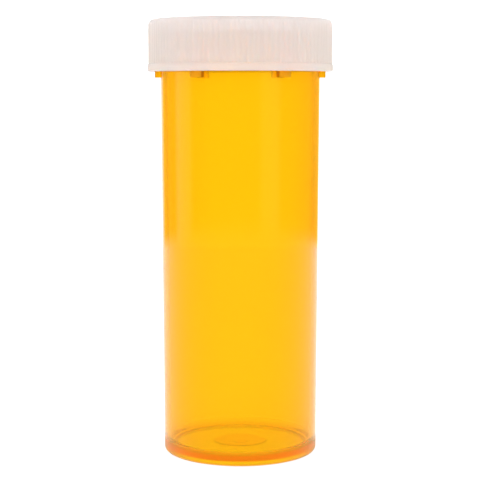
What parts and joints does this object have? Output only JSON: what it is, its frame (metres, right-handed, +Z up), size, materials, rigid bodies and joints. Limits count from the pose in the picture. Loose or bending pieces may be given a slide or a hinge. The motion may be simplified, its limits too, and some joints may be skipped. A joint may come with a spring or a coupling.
{
  "type": "prescription vial",
  "caption": "Slim translucent amber pharmacy vial with a ribbed milky push-down-and-turn cap, locking lugs round its neck and a sealing disc held in the cap.",
  "frame": {"origin": "centre of the foot, on the surface that the vial stands on", "axes": "+Z up along the axis of the vial and cap; the front is -Y, and two of the vial's six locking lugs lie on the X axis"},
  "size_m": [0.0383, 0.0382, 0.09],
  "materials": {
    "amber_vial": "clear amber polypropylene, gloss outside and in, with faint flow lines; light passes through it",
    "milky_cap": "natural translucent polypropylene, satin, milky where it is thick",
    "natural_disc": "soft natural polyethylene, matt and slightly waxy"
  },
  "bodies": {
    "vial": {"vial": "amber_vial"},
    "seal_disc": {"seal_disc": "natural_disc"},
    "cap": {"cap": "milky_cap"}
  },
  "joints": [
    {"name": "cap_lift", "type": "slide", "parent": "vial", "child": "seal_disc", "axis": [0, 0, 1], "range_m": [0, 0.02]},
    {"name": "cap_turn", "type": "hinge", "parent": "seal_disc", "child": "cap", "pos_m": [0, 0, 0.087], "axis": [0, 0, 1], "range_deg": [-28, 10]}
  ]
}
